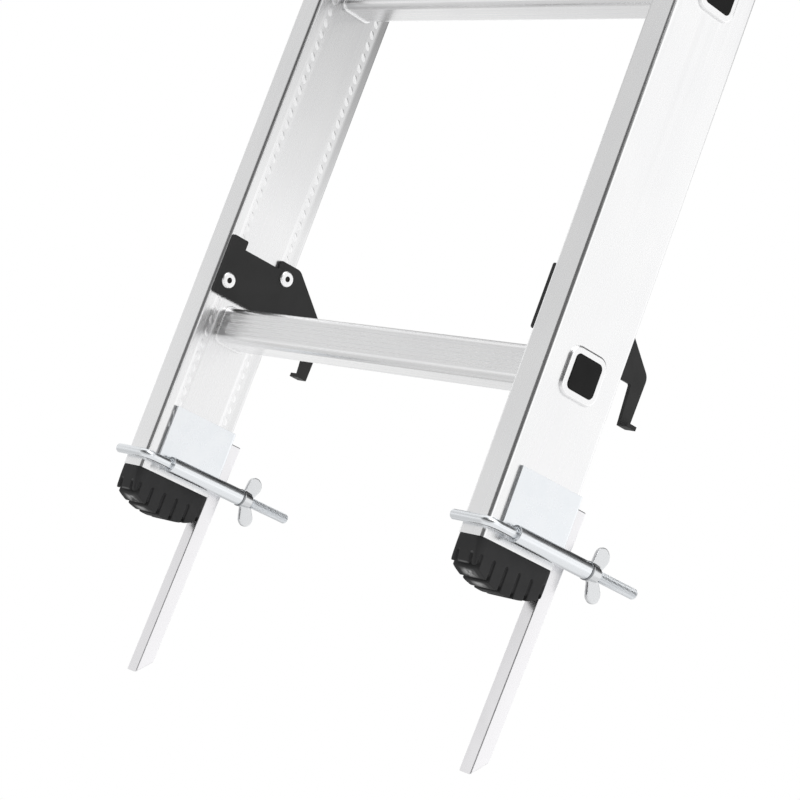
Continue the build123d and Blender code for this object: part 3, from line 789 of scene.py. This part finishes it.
# Each spot has a direction, the cosines at its rim and at its core, and what it leaves of the light
for direction, rim, core, left_over in (
    (Vector((0.335, -0.919, 0.208)), 0.53, 0.79, opening),
    (Vector((-0.35, 0.65, 0.68)), 0.77, 0.97, 0.08),  # high up behind, left and right
    (Vector((0.20, 0.62, 0.76)), 0.84, 0.93, 0.10),
    (Vector((-0.76, 0.00, 0.65)), 0.85, 0.97, 0.74),  # left wall, high up and near the front
    (Vector((-0.72, -0.62, 0.31)), 0.92, 1.0, 0.56),
    (Vector((0.85, 0.50, 0.15)), 0.95, 0.99, 0.82),  # right
    (Vector((-0.42, 0.88, -0.12)), 0.88, 0.98, 0.80),  # back
    (Vector((-0.60, 0.50, -0.62)), 0.86, 0.97, 0.68),  # low on the left, behind and in front
    (Vector((-0.76, -0.40, -0.45)), 0.80, 0.93, 0.73),
):
    facing = add_node(tree, "ShaderNodeVectorMath", {"operation": "DOT_PRODUCT"}, {
        0: toward, 1: direction.normalized()})
    shade = add_node(tree, "ShaderNodeMapRange", {"interpolation_type": "SMOOTHSTEP"}, {
        "Value": facing.outputs["Value"], "From Min": rim, "From Max": core,
        "To Min": 1.0, "To Max": left_over})
    level = add_node(tree, "ShaderNodeMath", {"operation": "MULTIPLY"}, {
        0: level, 1: shade.outputs["Result"]}).outputs["Value"]
glow = add_node(tree, "ShaderNodeEmission", inputs={"Strength": level})
add_node(tree, "ShaderNodeOutputMaterial", inputs={"Surface": glow.outputs["Emission"]})
tent.data.materials.append(tent_cloth)
for ray in ("camera", "diffuse", "shadow", "transmission", "volume_scatter"):
    setattr(tent, f"visible_{ray}", False)
tent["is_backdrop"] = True

# Floor: pale, under the spikes' points. It fades out into the white background, and from below,
# where the camera stands, it isn't there.
FLOOR_RADIUS = 3
FLOOR_GAP = 0.0005
FADE_START = 0.5
FADE_END = 1.8

bpy.ops.object.select_all(action="DESELECT")
bpy.ops.mesh.primitive_circle_add(
    vertices=96, radius=FLOOR_RADIUS, fill_type="NGON",
    location=(middle.x, middle.y, cad_low.z - FLOOR_GAP))
floor = bpy.context.object
floor.name = "studio_floor"
pale, tree, shader = new_material("floor paper pale", {"Base Color": linear("#F2F2F2"), "Roughness": 0.9})
place = add_node(tree, "ShaderNodeTexCoord").outputs["Object"]
from_middle = add_node(tree, "ShaderNodeVectorMath", {"operation": "LENGTH"}, {0: place})
fade = add_node(tree, "ShaderNodeMapRange", {"interpolation_type": "SMOOTHSTEP"}, {
    "Value": from_middle.outputs["Value"], "From Min": FADE_START, "From Max": FADE_END})
underside = add_node(tree, "ShaderNodeNewGeometry").outputs["Backfacing"]
absent = add_node(tree, "ShaderNodeMath", {"operation": "MAXIMUM"}, {
    0: fade.outputs["Result"], 1: underside})
clear = add_node(tree, "ShaderNodeBsdfTransparent")
surface = add_node(tree, "ShaderNodeMixShader", inputs={
    0: absent.outputs["Value"], 1: shader.outputs["BSDF"], 2: clear.outputs["BSDF"]})
tree.links.new(surface.outputs["Shader"], tree.nodes["Material Output"].inputs["Surface"])
floor.data.materials.append(pale)
floor.visible_glossy = False
floor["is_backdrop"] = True

# Light: one large soft lamp from above on the right, and a white world all round. The world is dimmer
# for the light it sheds than for what is seen of it, so that the blacks stay black.
lamp_data = bpy.data.lights.new("soft_lamp", "AREA")
lamp_data.size = 1.4
lamp_data.energy = 10
lamp = bpy.data.objects.new("soft_lamp", lamp_data)
lamp_place = Vector((1.1, -0.9, 1.5))
lamp.location = middle + lamp_place
lamp.rotation_euler = (-lamp_place).to_track_quat("-Z", "Y").to_euler()
bpy.context.collection.objects.link(lamp)
world = bpy.data.worlds.new("white studio")
scene.world = world
world.use_nodes = True
tree = world.node_tree
tree.nodes.clear()
path = add_node(tree, "ShaderNodeLightPath")
seen = path.outputs["Is Camera Ray"]
for ray in ("Is Glossy Ray", "Is Transmission Ray"):
    seen = add_node(tree, "ShaderNodeMath", {"operation": "MAXIMUM"}, {
        0: seen, 1: path.outputs[ray]}).outputs["Value"]
strength = add_node(tree, "ShaderNodeMapRange", inputs={"Value": seen, "To Min": 0.75, "To Max": 1.0})
white = add_node(tree, "ShaderNodeBackground", inputs={
    "Color": (1, 1, 1, 1), "Strength": strength.outputs["Result"]})
add_node(tree, "ShaderNodeOutputWorld", inputs={"Surface": white.outputs["Background"]})

low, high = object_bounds()
